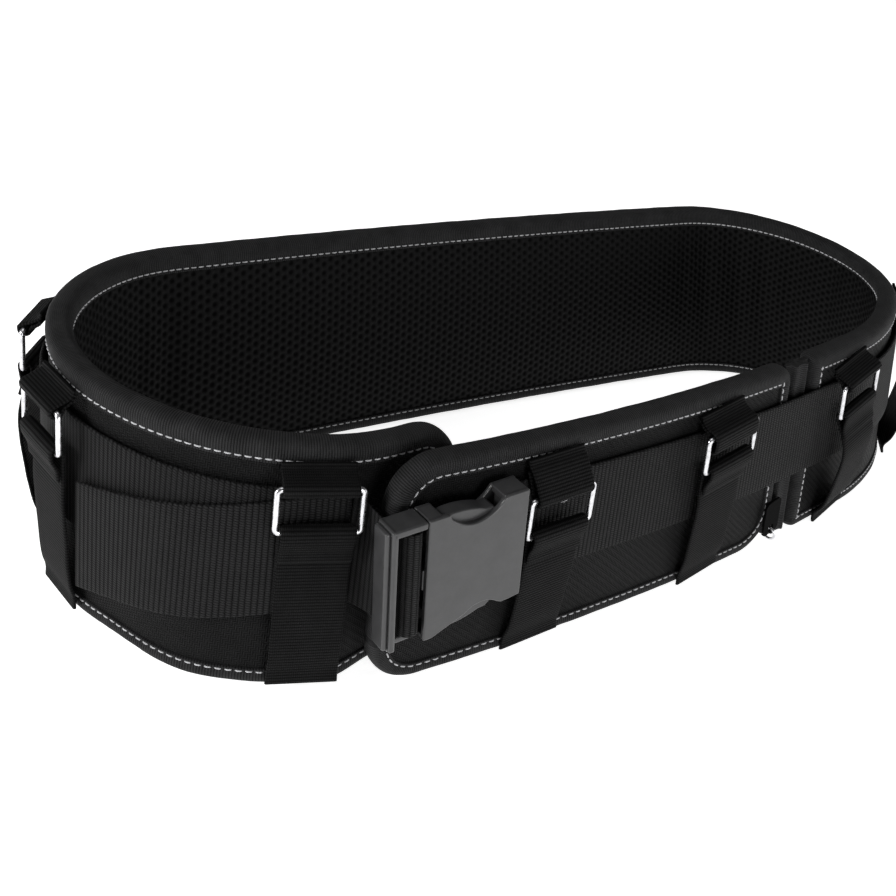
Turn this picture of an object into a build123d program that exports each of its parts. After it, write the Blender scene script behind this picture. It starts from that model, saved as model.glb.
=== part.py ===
from build123d import *
import math
import os

# Padded tool belt, closed by a side-release buckle. Millimetres, +Z up, resting on its lower edges.
# The wall is described by s (length along the outer face, counter-clockwise seen from above),
# d (distance outwards from the outer face) and z (height at the front).

# ---------------------------------------------------------------- driving dimensions
start_x = -179.7
start_y = -100.3
start_heading = -5.4
# outer face seen from above: (arc length, turn in degrees)
wall_arcs = [
    (312, 14), (84, 28), (127, 92), (68, 45), (338, 5), (175, 112), (98, 51), (24, 18), (36, 10),
]
wall_length = sum(length for length, turn in wall_arcs)
right_extent = 404.0
pad_height = 110.0
back_rise = 0.00055
bottom_spread = 38.0
# the left end's lower edge flares outwards between these lengths: rise from, to, fall from, to
left_flare = 10.0
flare_reach = (1100.0, 1155.0, 1198.0, 1228.0)
flare_step = 18.0
shortest_arc = 7.0

pad_thickness = 12.0
shell_thickness = 2.0
lining_thickness = 3.0
binding_width = 6.0
corner_overrun = 0.05

front_end = 244.0
join_strip = (248.0, 260.0)
main_start = 264.0
strip_depth = (-8.0, -2.0)
strip_margin = 2.0

webbing_width = 50.0
webbing_low = 42.0
webbing_high = webbing_low + webbing_width
webbing_gap = 0.3
webbing_thickness = 1.8
webbing_start = 62.0
webbing_end = 1205.0
tail_start = 1092.0
tail_end = 1205.0
tail_gap = 0.3
tail_droop_angle = 13.0
tail_drop = 11.0
tail_room = 14.0

strap_width = 30.0
strap_thickness = 1.6
ring_wire_radius = 1.3
ring_corner_radius = 1.7
ring_half_width = 17.0
ring_height = 18.5
ring_stand_off = 9.2
ring_bar_height = 95.5
loop_clearance = 0.5
ring_swing_room = 1.3
sewn_gap = 0.4
sewn_foot = 6.0
sewn_foot_top = 14.0
strap_gap = 5.6
strap_gap_height = 34.0
tab_sewn_top = 102.0
tab_sewn_low = 96.5
tab_back_gap = 3.0
tab_webbing_gap = 1.5
# keeper number: (place along the wall, how far its ring hangs lower than the others)
keepers = [
    (78.0, 8.0), (184.0, 1.0), (297.0, 0.0), (409.0, 0.0), (545.0, 0.0),
    (692.0, 0.0), (845.0, 0.0), (1007.0, 0.0), (1073.0, 0.0), (1192.0, 0.0),
]

end_tab_place = 242.0
end_tab_height = 18.5
end_hole_drop = 7.5
end_hole_radius = 2.4
end_tab_width = 13.0
end_tab_length = 22.0
end_tab_corner_radius = 3.0
end_tab_thickness = 1.2
end_ring_radius = 3.6
end_ring_wire_radius = 0.7
rivet_place = 85.0
rivet_height = 79.5
rivet_radius = 2.6
rivet_thickness = 1.0

buckle_heading = -4.0
buckle_droop = 6.0
buckle_height = 60.0
buckle_centre = 62.5
buckle_back = 3.6
buckle_front = 15.6
buckle_wall = 2.0
male_left = -8.5
female_left = 10.0
female_right = 58.0
channel_height = 52.0
channel_depth = 39.0
fit_gap = 0.3
window_half = webbing_width / 2 + 1.5
anchor_left = 50.2
anchor_front = 12.8
anchor_bar = (54.6, 8.2)
anchor_bar_radius = 1.8
ladder_bar = (4.7, 9.7)
ladder_bar_half = 2.1
arm_pivot = (13.4, 19.0)
arm_squeeze_room = 3.0
cut_margin = 1.0
socket_edge_radius = 1.2
socket_cut_depth = 8.0
socket_cut = (17.0, 36.0, 46.0)
plug_edge_radius = 1.4
plug_window_left = -3.8
plug_shoulder = 0.7
tongue_half = 5.0
tongue_right = 44.0
# a release arm's outline beside the tongue: (place along the buckle, distance in from the channel's wall)
arm_outline = [(27.0, 2.0), (32.0, 0.0), (42.0, 0.0), (44.0, 2.5), (44.0, 6.0), (30.0, 6.5)]
# the folds of webbing at the buckle's two bars: (place along the buckle, distance outwards)
fold_outline = [(-2.4, 0.4), (-3.4, 2.4), (0.9, 9.7), (0.9, 5.9)]
fold_size = 7.8
fold_corner_radius = 1.5
anchor_outline = [(54.6, 4.6), (57.2, 5.2), (59.0, 2.9), (59.0, 0.7), (57.6, 0.7)]
anchor_loop_radius = 3.8
webbing_fold_gap = 0.15
anchor_loop_gap = 0.2


# ---------------------------------------------------------------- wall geometry
def wall_frame(s):
    """Point and heading (radians) of the outer face at the length s, with no spread."""
    x, y, heading = start_x, start_y, math.radians(start_heading)
    left = s
    for length, turn in wall_arcs:
        radius = length / math.radians(turn)
        step = min(left, length)
        bend = step / radius
        x += radius * (math.sin(heading + bend) - math.sin(heading))
        y -= radius * (math.cos(heading + bend) - math.cos(heading))
        heading += bend
        left -= step
        if left <= 0:
            break
    return x, y, heading


def smooth_step(low, high, s):
    """Rises smoothly from 0 at low to 1 at high."""
    share = min(max((s - low) / (high - low), 0.0), 1.0)
    return share * share * (3 - 2 * share)


def flare_share(s):
    rise_from, rise_to, fall_from, fall_to = flare_reach
    return smooth_step(rise_from, rise_to, s) * (1 - smooth_step(fall_from, fall_to, s))


def wall_point(s, d, z):
    """Point at s, d and z. The lower edge spreads to the right, and the top rises to the back."""
    x, y, heading = wall_frame(s)
    d += left_flare * flare_share(s) * (1 - z / pad_height)
    x += d * math.sin(heading)
    y -= d * math.cos(heading)
    share = min(max((x - start_x) / right_extent, 0.0), 1.0)
    x += bottom_spread * share * (1 - z / pad_height)
    return Vector(x, y, z * (1 + back_rise * (y - start_y)))


def level(z):
    """The sloping plane that holds every point of the wall at the height z."""
    slope = math.atan(back_rise * z)
    return Plane(origin=(0, start_y, z), x_dir=(1, 0, 0), z_dir=(0, -math.sin(slope), math.cos(slope)))


def on_level(s, d, z):
    point = wall_point(s, d, z)
    return (point.X, (point.Y - start_y) / math.cos(math.atan(back_rise * z)))


def arc_ends(s0, s1):
    """s0, s1 and what lies between them: the ends of the wall's arcs, and steps along the flare."""
    stops = [sum(length for length, turn in wall_arcs[:count]) for count in range(len(wall_arcs))]
    steps = int((flare_reach[-1] - flare_reach[0]) / flare_step) + 1
    stops += [flare_reach[0] + flare_step * step for step in range(steps)]
    ends = [s0]
    for stop in sorted(stops):
        if ends[-1] + shortest_arc < stop < s1 - shortest_arc:
            ends.append(stop)
    return ends + [s1]


def strip_section(s0, s1, d0, d1, z):
    """Outline of a strip along the wall at one height."""
    ends = arc_ends(s0, s1)
    pairs = list(zip(ends, ends[1:]))
    with BuildSketch(level(z)) as section:
        with BuildLine():
            for a, b in pairs:
                ThreePointArc(on_level(a, d1, z), on_level((a + b) / 2, d1, z), on_level(b, d1, z))
            Line(on_level(s1, d1, z), on_level(s1, d0, z))
            for a, b in reversed(pairs):
                ThreePointArc(on_level(b, d0, z), on_level((a + b) / 2, d0, z), on_level(a, d0, z))
            Line(on_level(s0, d0, z), on_level(s0, d1, z))
        make_face()
    return section.sketch


def wall_plane(s, z=0.0):
    """Plane across the wall at s: local x points outwards and local y up along the wall."""
    low = wall_point(s, 0, z)
    up = (wall_point(s, 0, pad_height) - wall_point(s, 0, 0)).normalized()
    heading = wall_frame(s)[2]
    along = Vector(math.cos(heading), math.sin(heading), 0)
    outward = along.cross(up).normalized()
    return Plane(origin=low, x_dir=outward, z_dir=outward.cross(up))


def facing_plane(plane):
    """The plane that faces outwards at the foot of a plane across the wall."""
    return Plane(origin=plane.origin, x_dir=-plane.z_dir, z_dir=plane.x_dir)


def finish(builder, name):
    builder.part.label = name
    export_step(builder.part, "parts/" + name + ".step")


# ---------------------------------------------------------------- pads
def corner_cutter(s, z, along_sign, up_sign, radius):
    """The waste outside a rounded corner, as a block that runs through the wall."""
    plane = wall_plane(s, z)
    margin = 2.0
    side = radius + margin
    with BuildPart() as cutter:
        with BuildSketch(Plane(origin=plane.origin, x_dir=-plane.z_dir, z_dir=plane.x_dir)):
            with Locations((along_sign * (radius - side / 2), up_sign * (radius - side / 2))):
                Rectangle(side, side)
            with Locations((along_sign * radius, up_sign * radius)):
                Circle(radius + corner_overrun, mode=Mode.SUBTRACT)
        extrude(amount=3 * pad_thickness, both=True)
    return cutter.part


def pad_block(s0, s1, d0, d1, inset, corners):
    """One layer of a pad; corners holds (end, height, radius) for its rounded corners."""
    low, high = inset, pad_height - inset
    first, last = s0 + inset, s1 - inset
    with BuildPart() as block:
        loft(sections=[strip_section(first, last, d0, d1, z) for z in (low, high)], ruled=True)
        for end, height, radius in corners:
            s, along_sign = (first, 1) if end == "first" else (last, -1)
            z, up_sign = (low, 1) if height == "low" else (high, -1)
            add(corner_cutter(s, z, along_sign, up_sign, radius - inset), mode=Mode.SUBTRACT)
    return block.part


def make_pad(name, s0, s1, corners):
    """Woven shell, foam core and mesh lining inside a frame of edge binding."""
    inner = -pad_thickness
    foam_inner = inner + lining_thickness
    layers = {
        "shell": (-shell_thickness, 0.0),
        "foam": (foam_inner, -shell_thickness),
        "lining": (inner, foam_inner),
    }
    for layer, (d0, d1) in layers.items():
        with BuildPart() as sheet:
            add(pad_block(s0, s1, d0, d1, binding_width, corners))
        finish(sheet, name + "_" + layer)
    with BuildPart() as binding:
        add(pad_block(s0, s1, inner, 0.0, 0.0, corners))
        window = pad_block(s0, s1, inner - shell_thickness, shell_thickness, binding_width, corners)
        add(window, mode=Mode.SUBTRACT)
    finish(binding, name + "_binding")


def make_strip(name, s0, s1, d0, d1, z0, z1):
    with BuildPart() as strip:
        loft(sections=[strip_section(s0, s1, d0, d1, z) for z in (z0, z1)], ruled=True)
    finish(strip, name)


# ---------------------------------------------------------------- keepers
def make_keeper(number, s, drop):
    """A tab sewn under the top edge, a wire ring, and a strap from the lower edge over the webbing."""
    plane = wall_plane(s)
    lift = (wall_point(s, 0, pad_height) - wall_point(s, 0, 0)).length / pad_height
    top_bar = ring_bar_height * lift - drop
    low_bar = top_bar - ring_height
    inner_loop = ring_wire_radius + loop_clearance
    outer_loop = inner_loop + strap_thickness
    sewn_top = tab_sewn_top * lift
    sewn_low = tab_sewn_low * lift
    tab_knee = max(webbing_high * lift + tab_webbing_gap, top_bar)

    with BuildPart() as tab:
        with BuildSketch(plane):
            with BuildLine():
                Polyline(
                    (sewn_gap, sewn_top), (sewn_gap + strap_thickness, sewn_top),
                    (ring_stand_off + outer_loop, top_bar), (ring_stand_off - outer_loop, top_bar),
                    (tab_back_gap, tab_knee),
                    (sewn_gap, sewn_low),
                    close=True,
                )
            make_face()
            with Locations((ring_stand_off, top_bar)):
                Circle(outer_loop)
                Circle(inner_loop, mode=Mode.SUBTRACT)
        extrude(amount=strap_width / 2, both=True)
    finish(tab, f"keeper_{number}_tab")

    with BuildPart() as strap:
        with BuildSketch(plane):
            with BuildLine():
                Polyline(
                    (sewn_gap, sewn_foot), (sewn_gap, sewn_foot_top),
                    (strap_gap, strap_gap_height), (strap_gap, low_bar),
                    (strap_gap + strap_thickness, low_bar),
                    (strap_gap + strap_thickness, strap_gap_height),
                    (sewn_gap + strap_thickness, sewn_foot_top),
                    (sewn_gap + strap_thickness, sewn_foot),
                    close=True,
                )
            make_face()
            with Locations((ring_stand_off, low_bar)):
                SlotCenterToCenter(2 * ring_swing_room, 2 * outer_loop)
                SlotCenterToCenter(2 * ring_swing_room, 2 * inner_loop, mode=Mode.SUBTRACT)
        extrude(amount=strap_width / 2, both=True)
    finish(strap, f"keeper_{number}_strap")

    centre = plane.from_local_coords((ring_stand_off, (top_bar + low_bar) / 2, 0))
    ring_plane = Plane(origin=centre, x_dir=-plane.z_dir, z_dir=plane.x_dir)
    side, half = ring_half_width, ring_height / 2
    with BuildPart() as ring:
        with BuildLine(ring_plane) as wire:
            FilletPolyline(
                (-side, half), (side, half), (side, -half), (-side, -half),
                radius=ring_corner_radius, close=True,
            )
        with BuildSketch(Plane(origin=wire.line @ 0, z_dir=wire.line % 0)):
            Circle(ring_wire_radius)
        sweep(path=wire.line)
    finish(ring, f"keeper_{number}_ring")


# ---------------------------------------------------------------- buckle
def buckle_plane(z=0.0):
    """Front view of the buckle, whose left end hangs lower: local x runs along it, y up, z outwards."""
    x, y, heading = wall_frame(0.0)
    turn, droop = math.radians(buckle_heading), math.radians(buckle_droop)
    outward = Vector(math.sin(turn), -math.cos(turn), 0)
    along = Vector(math.cos(turn) * math.cos(droop), math.sin(turn) * math.cos(droop), math.sin(droop))
    return Plane(origin=Vector(x, y, buckle_centre) + outward * z, x_dir=along, z_dir=outward)


def buckle_side_plane():
    """Section across the buckle's height: local x along it to the right, y outwards."""
    front = buckle_plane()
    return Plane(origin=front.origin, x_dir=front.x_dir, z_dir=-front.y_dir)


def box_cut(u0, u1, half, d0, d1):
    """A block in the buckle's frame, from u0 to u1 along it and from d0 to d1 outwards."""
    front = buckle_plane(d0)
    centre = front.from_local_coords(((u0 + u1) / 2, 0, (d1 - d0) / 2))
    with BuildPart(Plane(origin=centre, x_dir=front.x_dir, z_dir=front.z_dir)) as block:
        Box(u1 - u0, 2 * half, d1 - d0)
    return block.part


def front_edges(builder):
    """The edges of the face that lies furthest out on the buckle."""
    front = buckle_plane()
    return builder.faces().sort_by(Axis(front.origin, front.z_dir))[-1].edges()


def make_female():
    """The socket half: a flat shell with a hollow for the prongs and a concave cut in each long side."""
    half = buckle_height / 2
    cut_left, cut_middle, cut_right = socket_cut
    with BuildPart() as body:
        with BuildSketch(buckle_plane(buckle_back)):
            with BuildLine():
                for sign in (1, -1):
                    Line((female_left, 0), (female_left, sign * half))
                    Line((female_left, sign * half), (cut_left, sign * half))
                    ThreePointArc(
                        (cut_left, sign * half), (cut_middle, sign * (half - socket_cut_depth)),
                        (cut_right, sign * half),
                    )
                    Line((cut_right, sign * half), (female_right, sign * half))
                    Line((female_right, sign * half), (female_right, 0))
            make_face()
        extrude(amount=buckle_front - buckle_back)
        fillet(front_edges(body), socket_edge_radius)
        add(
            box_cut(female_left - cut_margin, female_left + channel_depth, channel_height / 2,
                    buckle_back + buckle_wall, buckle_front - buckle_wall),
            mode=Mode.SUBTRACT,
        )
        add(
            box_cut(anchor_left, female_right + cut_margin, window_half,
                    buckle_back - cut_margin, anchor_front),
            mode=Mode.SUBTRACT,
        )
        with BuildSketch(buckle_side_plane()):
            with Locations(anchor_bar):
                Circle(anchor_bar_radius)
        extrude(amount=window_half + cut_margin, both=True)
    finish(body, "buckle_female_body")


def make_male():
    """The plug half: a ladder frame for the webbing and a middle tongue."""
    inner_back = buckle_back + buckle_wall + fit_gap
    inner_front = buckle_front - buckle_wall - fit_gap
    shoulder = female_left - fit_gap
    bar_left, bar_right = ladder_bar[0] - ladder_bar_half, ladder_bar[0] + ladder_bar_half
    bar_back, bar_front = ladder_bar[1] - ladder_bar_half, ladder_bar[1] + ladder_bar_half
    through = (buckle_back - cut_margin, buckle_front + cut_margin)
    with BuildPart() as frame:
        add(box_cut(male_left, shoulder, buckle_height / 2, buckle_back, buckle_front))
        fillet(front_edges(frame), plug_edge_radius)
        add(box_cut(plug_window_left, bar_left, window_half, *through), mode=Mode.SUBTRACT)
        add(box_cut(bar_right, shoulder - plug_shoulder, window_half, *through), mode=Mode.SUBTRACT)
        add(box_cut(bar_left, bar_right, window_half, through[0], bar_back), mode=Mode.SUBTRACT)
        add(box_cut(bar_left, bar_right, window_half, bar_front, through[1]), mode=Mode.SUBTRACT)
        add(box_cut(shoulder - plug_shoulder, tongue_right, tongue_half, inner_back, inner_front))
    finish(frame, "buckle_male_frame")


def make_arm(name, sign):
    """A release arm: a springy beam beside the tongue, with a thick tip behind the shell's rim."""
    reach = channel_height / 2 - fit_gap
    root_x, root_y = arm_pivot
    with BuildPart() as arm:
        with BuildSketch(buckle_plane(buckle_back + buckle_wall + fit_gap)):
            with BuildLine():
                Polyline(
                    (root_x, sign * (root_y - arm_squeeze_room)),
                    (root_x, sign * (root_y + arm_squeeze_room)),
                    *[(place, sign * (reach - inset)) for place, inset in arm_outline],
                    close=True,
                )
            make_face()
            with Locations((root_x, sign * root_y)):
                Circle(arm_squeeze_room)
        extrude(amount=buckle_front - buckle_back - 2 * (buckle_wall + fit_gap))
    finish(arm, name)


def make_buckle_webbing():
    """The two short loops that hold the buckle's halves to the waist webbing."""
    hole_size = 2 * (ladder_bar_half + webbing_fold_gap)
    with BuildPart() as fold:
        with BuildSketch(buckle_side_plane()):
            with BuildLine():
                Polyline(*fold_outline, close=True)
            make_face()
            with Locations(ladder_bar):
                RectangleRounded(fold_size, fold_size, fold_corner_radius)
                Rectangle(hole_size, hole_size, mode=Mode.SUBTRACT)
        extrude(amount=webbing_width / 2, both=True)
    finish(fold, "webbing_fold")
    with BuildPart() as loop:
        with BuildSketch(buckle_side_plane()):
            with BuildLine():
                Polyline(*anchor_outline, close=True)
            make_face()
            with Locations(anchor_bar):
                Circle(anchor_loop_radius)
                Circle(anchor_bar_radius + anchor_loop_gap, mode=Mode.SUBTRACT)
        extrude(amount=webbing_width / 2, both=True)
    finish(loop, "webbing_anchor_loop")


def make_tail():
    """The loose end of the webbing, folded back over itself and drooping towards its cut end."""
    low_gap = webbing_gap + webbing_thickness + tail_gap
    half_droop = (tail_end - tail_start) / 2 * math.tan(math.radians(tail_droop_angle))
    middle = wall_plane((tail_start + tail_end) / 2, webbing_low + webbing_width / 2)
    droop = math.radians(tail_droop_angle)
    along, up = -middle.z_dir, middle.y_dir
    slope = up * math.cos(droop) - along * math.sin(droop)
    centre = middle.origin - up * tail_drop
    half_width = slope * (webbing_width / 2)
    with BuildPart() as tail:
        loft(
            sections=[
                strip_section(tail_start, tail_end, low_gap, low_gap + webbing_thickness, z)
                for z in (webbing_low - tail_room - half_droop, webbing_high + tail_room)
            ],
            ruled=True,
        )
        split(bisect_by=Plane(origin=centre + half_width, z_dir=slope), keep=Keep.BOTTOM)
        split(bisect_by=Plane(origin=centre - half_width, z_dir=slope), keep=Keep.TOP)
    finish(tail, "webbing_tail")


def make_end_tab():
    """A small webbing tab with a punched hole at the right pad's lower corner, and the ring it carries."""
    plane = wall_plane(end_tab_place)
    hole_height = end_tab_height - end_hole_drop
    with BuildPart() as tab:
        with BuildSketch(facing_plane(plane).offset(sewn_gap)):
            with Locations((0, end_tab_height)):
                RectangleRounded(end_tab_width, end_tab_length, end_tab_corner_radius)
            with Locations((0, hole_height)):
                Circle(end_hole_radius, mode=Mode.SUBTRACT)
        extrude(amount=end_tab_thickness)
    finish(tab, "end_tab")
    hole = plane.from_local_coords((sewn_gap + end_tab_thickness / 2, hole_height, 0))
    ring_centre = hole - plane.y_dir * end_ring_radius
    with BuildPart() as ring:
        with BuildSketch(Plane(origin=hole, x_dir=plane.y_dir, z_dir=plane.x_dir)):
            Circle(end_ring_wire_radius)
        revolve(axis=Axis(ring_centre, plane.z_dir), revolution_arc=360)
    finish(ring, "end_ring")


def make_rivet():
    """The rivet that holds the webbing's sewn end, seen through the first keeper ring."""
    plane = wall_plane(rivet_place)
    with BuildPart() as rivet:
        with BuildSketch(facing_plane(plane).offset(webbing_gap + webbing_thickness)):
            with Locations((0, rivet_height)):
                Circle(rivet_radius)
        extrude(amount=rivet_thickness)
    finish(rivet, "webbing_rivet")


make_female()
make_male()
make_arm("buckle_upper_arm", 1)
make_arm("buckle_lower_arm", -1)
make_buckle_webbing()
make_tail()
make_end_tab()
make_rivet()
# a pad's rounded corners: (end, height, radius)
front_corners = [
    ("first", "high", 22.0), ("first", "low", 22.0), ("last", "low", 26.0), ("last", "high", 8.0),
]
main_corners = [("last", "high", 24.0), ("last", "low", 30.0)]
make_pad("front", 0.0, front_end, front_corners)
make_pad("main", main_start, wall_length, main_corners)
make_strip("join_strip", *join_strip, *strip_depth, strip_margin, pad_height - strip_margin)
webbing_outer = webbing_gap + webbing_thickness
make_strip(
    "waist_webbing", webbing_start, webbing_end, webbing_gap, webbing_outer, webbing_low, webbing_high,
)
for number, (place, drop) in enumerate(keepers, start=1):
    make_keeper(number, place, drop)
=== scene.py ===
"""Looks of the padded tool belt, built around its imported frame.

The belt's wall is described as in its design: s is the length along the outer face, d the distance
outwards from it and z the height at the front. Those three are in millimetres; wall() gives metres.
"""
import math

import bmesh
import bpy
import numpy as np
from mathutils import Matrix, Vector


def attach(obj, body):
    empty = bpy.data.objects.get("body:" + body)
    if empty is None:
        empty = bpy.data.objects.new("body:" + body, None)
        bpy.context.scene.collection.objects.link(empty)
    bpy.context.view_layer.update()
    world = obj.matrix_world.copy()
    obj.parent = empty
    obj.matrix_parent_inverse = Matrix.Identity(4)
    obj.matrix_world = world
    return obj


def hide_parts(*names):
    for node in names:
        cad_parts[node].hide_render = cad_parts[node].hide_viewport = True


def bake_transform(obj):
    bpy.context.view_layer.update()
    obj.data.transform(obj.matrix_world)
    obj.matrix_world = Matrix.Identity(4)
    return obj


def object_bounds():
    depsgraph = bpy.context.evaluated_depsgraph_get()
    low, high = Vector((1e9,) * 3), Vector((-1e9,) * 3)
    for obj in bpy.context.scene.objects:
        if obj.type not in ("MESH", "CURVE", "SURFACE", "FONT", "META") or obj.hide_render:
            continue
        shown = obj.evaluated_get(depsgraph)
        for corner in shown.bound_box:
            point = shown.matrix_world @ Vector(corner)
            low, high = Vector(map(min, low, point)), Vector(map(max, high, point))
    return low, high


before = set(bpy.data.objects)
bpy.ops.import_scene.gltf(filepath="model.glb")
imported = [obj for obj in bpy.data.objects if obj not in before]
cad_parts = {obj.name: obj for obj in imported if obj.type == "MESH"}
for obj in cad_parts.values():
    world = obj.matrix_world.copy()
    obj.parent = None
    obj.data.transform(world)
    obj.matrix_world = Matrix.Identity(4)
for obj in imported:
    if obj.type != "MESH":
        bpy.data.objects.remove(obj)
cad_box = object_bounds()
MM = 0.001

# ---------------------------------------------------------------- the wall and what lies on it (mm)
START = (-179.7, -100.3)
START_HEADING = -5.4
WALL_ARCS = [
    (312, 14), (84, 28), (127, 92), (68, 45), (338, 5), (175, 112), (98, 51), (24, 18), (36, 10),
]
WALL_LENGTH = sum(length for length, turn in WALL_ARCS)
RIGHT_EXTENT = 404.0
PAD_HEIGHT = 110.0
PAD_THICKNESS = 12.0
BACK_RISE = 0.00055
BOTTOM_SPREAD = 38.0
# the left end's lower edge flares outwards over this reach: rise from, rise to, fall from, fall to
LEFT_FLARE = 10.0
FLARE_REACH = (1100.0, 1155.0, 1198.0, 1228.0)

# pad name: first and last s, and the corner radii (first low, last low, last high, first high)
PADS = {
    "front": (0.0, 244.0, (22.0, 26.0, 8.0, 22.0)),
    "main": (264.0, WALL_LENGTH, (4.0, 30.0, 24.0, 4.0)),
}
JOIN_STRIP = (248.0, 260.0)
TAPE_TOP, TAPE_BOTTOM = 9.5, 7.5
STITCH_INSET = 1.6
STITCH_PITCH = 4.0

# the webbing's and its loose end's reach in z, s and d
WEBBING_Z = (42.0, 92.0)
WEBBING_S = (62.0, 1205.0)
WEBBING_D = (0.3, 2.1)
TAIL_S = (1092.0, 1205.0)
TAIL_D = (2.4, 4.2)
TAIL_DROOP = math.radians(13.0)
TAIL_MIDDLE_Z = 56.0
TAIL_LIFT, TAIL_CURL = 0.2, 1.2

# each keeper's place s, and how far its ring hangs lower than the others
KEEPERS = [
    (78.0, 8.0), (184.0, 1.0), (297.0, 0.0), (409.0, 0.0), (545.0, 0.0),
    (692.0, 0.0), (845.0, 0.0), (1007.0, 0.0), (1073.0, 0.0), (1192.0, 0.0),
]
STRAP_WIDTH = 30.0
PLY = 1.6
RING_STAND_OFF = 9.2
RING_HEIGHT = 18.5
RING_BAR_HEIGHT = 95.5
LOOP_RADIUS = 2.6
# how far a keeper's strap stands out, and how much lower its tab hangs in the ring (mm)
STRAP_BULGE = {1: 1.5, 2: 1.0, 3: 8.0, 4: 9.0, 8: 7.0, 9: 1.0}
TAB_SLACK = {2: 5.0}
# how much wider a strap grows at its foot, as a share of its width
FOOT_FLARE = {1: 0.12}

BUCKLE_HEADING = math.radians(-4.0)
BUCKLE_DROOP = math.radians(6.0)
BUCKLE_Z = 62.5
WEBBING_MIDDLE_Z = 67.0
BUCKLE_HALF = 30.0
BUCKLE_BACK, BUCKLE_FRONT = 3.6, 15.6


def wall_frame(s):
    """x, y (mm) and heading of the outer face at each s, before the lower edge's spread."""
    s = np.asarray(s, float)
    x, y = np.full_like(s, START[0]), np.full_like(s, START[1])
    heading, begin = math.radians(START_HEADING), 0.0
    turned = np.full_like(s, heading)
    for length, turn in WALL_ARCS:
        radius = length / math.radians(turn)
        bend = np.clip(s - begin, 0, length) / radius
        x += radius * (np.sin(heading + bend) - math.sin(heading))
        y -= radius * (np.cos(heading + bend) - math.cos(heading))
        turned += bend
        heading += math.radians(turn)
        begin += length
    beyond = s - np.clip(s, 0, WALL_LENGTH)
    return x + beyond * np.cos(turned), y + beyond * np.sin(turned), turned


def smooth_step(low, high, s):
    share = np.clip((s - low) / (high - low), 0, 1)
    return share * share * (3 - 2 * share)


def wall(s, d, z):
    """Points in metres at s, d and z, with the lower edge's spread and flare and the back's rise."""
    s, d, z = np.broadcast_arrays(np.asarray(s, float), np.asarray(d, float), np.asarray(z, float))
    x, y, heading = wall_frame(s)
    rise_from, rise_to, fall_from, fall_to = FLARE_REACH
    flare = LEFT_FLARE * smooth_step(rise_from, rise_to, s) * (1 - smooth_step(fall_from, fall_to, s))
    d = d + flare * (1 - z / PAD_HEIGHT)
    x = x + d * np.sin(heading)
    y = y - d * np.cos(heading)
    share = np.clip((x - START[0]) / RIGHT_EXTENT, 0, 1)
    x = x + BOTTOM_SPREAD * share * (1 - z / PAD_HEIGHT)
    return np.stack([x, y, z * (1 + BACK_RISE * (y - START[1]))], -1) * MM


def wall_axes(s):
    """Origin at the foot of the wall, and its unit outward, upward and along directions, at one s."""
    low, high = wall(s, 0, 0), wall(s, 0, PAD_HEIGHT)
    heading = float(wall_frame(s)[2])
    up = (high - low) / np.linalg.norm(high - low)
    along = np.array([math.cos(heading), math.sin(heading), 0.0])
    out = np.cross(along, up)
    out /= np.linalg.norm(out)
    return low, out, up, np.cross(up, out)


def wall_lift(s):
    """How much longer the leaning wall is than its height."""
    return float(np.linalg.norm(wall(s, 0, PAD_HEIGHT) - wall(s, 0, 0))) / (PAD_HEIGHT * MM)


def buckle_axes():
    """Origin and unit directions of the buckle: along it to the right, up, and outwards."""
    x, y, _ = wall_frame(0.0)
    origin = np.array([float(x), float(y), BUCKLE_Z]) * MM
    level = np.array([math.cos(BUCKLE_HEADING), math.sin(BUCKLE_HEADING), 0.0])
    out = np.array([math.sin(BUCKLE_HEADING), -math.cos(BUCKLE_HEADING), 0.0])
    along = level * math.cos(BUCKLE_DROOP) + np.array([0.0, 0.0, math.sin(BUCKLE_DROOP)])
    return origin, along, np.cross(out, along), out


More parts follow.
